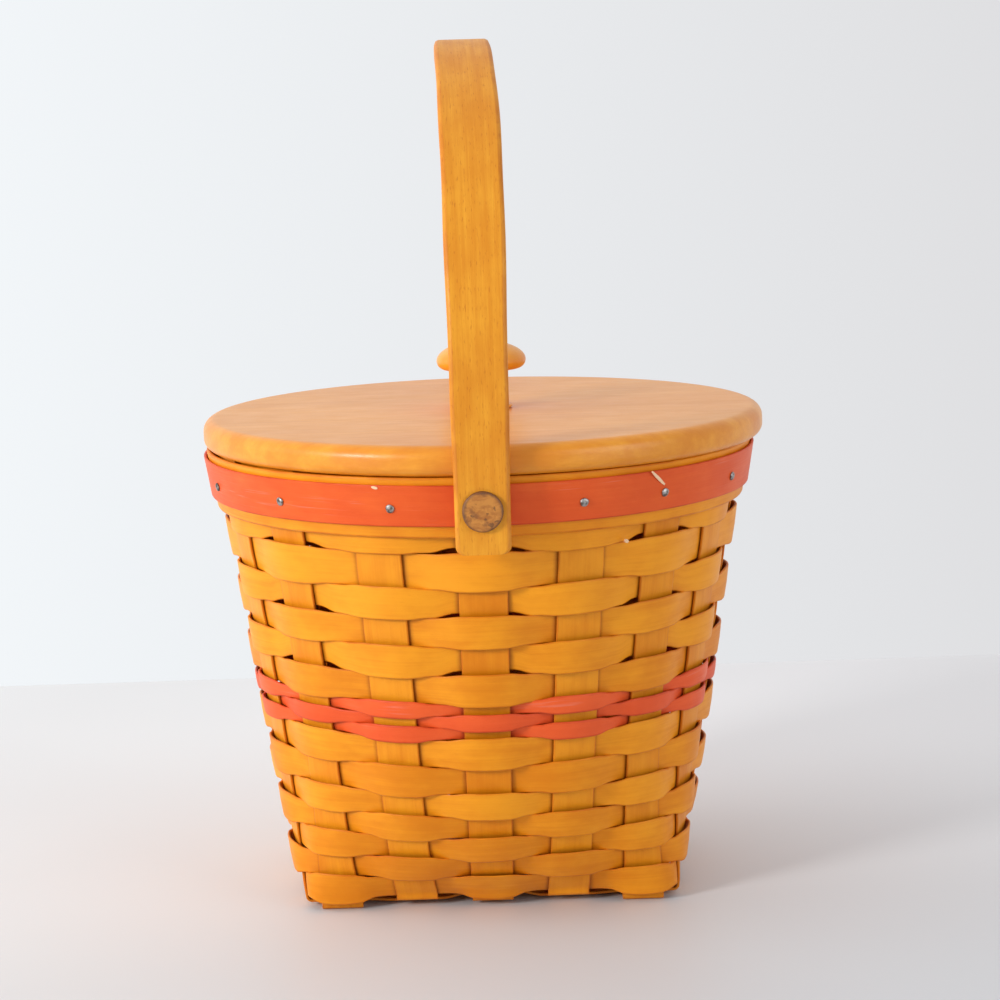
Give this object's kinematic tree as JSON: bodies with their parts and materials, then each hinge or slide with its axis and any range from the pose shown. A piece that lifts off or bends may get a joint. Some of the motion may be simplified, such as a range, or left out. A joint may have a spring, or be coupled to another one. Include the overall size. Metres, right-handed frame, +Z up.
{
  "type": "lidded basket",
  "caption": "Woven splint basket, oblong at the base and round at the rim, with a round board lid that lifts off by its knob and a bentwood carrying handle that swings on two pegs",
  "frame": {"origin": "middle of the base, on the surface that the basket stands on", "axes": "+Z up; +Y from front to back, along the pegs that the handle swings on; +X to the right"},
  "size_m": [0.2338, 0.2518, 0.3524],
  "materials": {
    "honey_wood": "golden honey stain, satin varnish, fine straight grain",
    "red_wood": "brick red stain, satin varnish",
    "handle_wood": "golden stain with short darker flecks, satin varnish",
    "lid_wood": "pale golden stain, gloss varnish",
    "peg_wood": "brown end grain, matt",
    "steel": "plain steel"
  },
  "bodies": {
    "basket": {"splint_front_back_1": "honey_wood", "splint_front_back_2": "honey_wood", "splint_front_back_3": "honey_wood", "splint_front_back_4": "honey_wood", "splint_front_back_5": "honey_wood", "splint_left_right_1": "honey_wood", "splint_left_right_2": "honey_wood", "splint_left_right_3": "honey_wood", "weaver_1": "honey_wood", "weaver_2": "honey_wood", "weaver_3": "honey_wood", "weaver_4": "honey_wood", "weaver_5": "honey_wood", "weaver_6": "honey_wood", "weaver_7": "honey_wood", "weaver_11": "honey_wood", "weaver_12": "honey_wood", "weaver_13": "honey_wood", "weaver_14": "honey_wood", "weaver_15": "honey_wood", "weaver_16": "honey_wood", "weaver_17": "honey_wood", "weaver_red_8": "red_wood", "weaver_red_9": "red_wood", "weaver_red_10": "red_wood", "rim_band_outer": "honey_wood", "rim_band_inner": "honey_wood", "rim_trim_red": "red_wood", "tack_1": "steel", "tack_2": "steel", "tack_3": "steel", "tack_4": "steel", "tack_5": "steel", "tack_6": "steel", "tack_7": "steel", "tack_8": "steel", "tack_9": "steel", "tack_10": "steel", "tack_11": "steel", "tack_12": "steel", "tack_13": "steel", "tack_14": "steel", "handle_peg_back": "peg_wood", "handle_spacer_back": "peg_wood", "peg_washer_back": "peg_wood", "handle_peg_front": "peg_wood", "handle_spacer_front": "peg_wood", "peg_washer_front": "peg_wood"},
    "handle": {"handle_hoop": "handle_wood"},
    "lid": {"lid_board": "lid_wood", "lid_locating_disc": "lid_wood", "lid_knob": "lid_wood", "knob_screw": "steel", "lid_disc_screw_1": "steel", "lid_disc_screw_2": "steel", "lid_disc_screw_3": "steel"}
  },
  "joints": [
    {"name": "handle_swing", "type": "hinge", "parent": "basket", "child": "handle", "pos_m": [0, 0, 0.17575], "axis": [0, 1, 0], "range_deg": [-138, 138]},
    {"name": "lid_lift", "type": "slide", "parent": "basket", "child": "lid", "axis": [0, 0, 1], "range_m": [0, 0.038]}
  ]
}
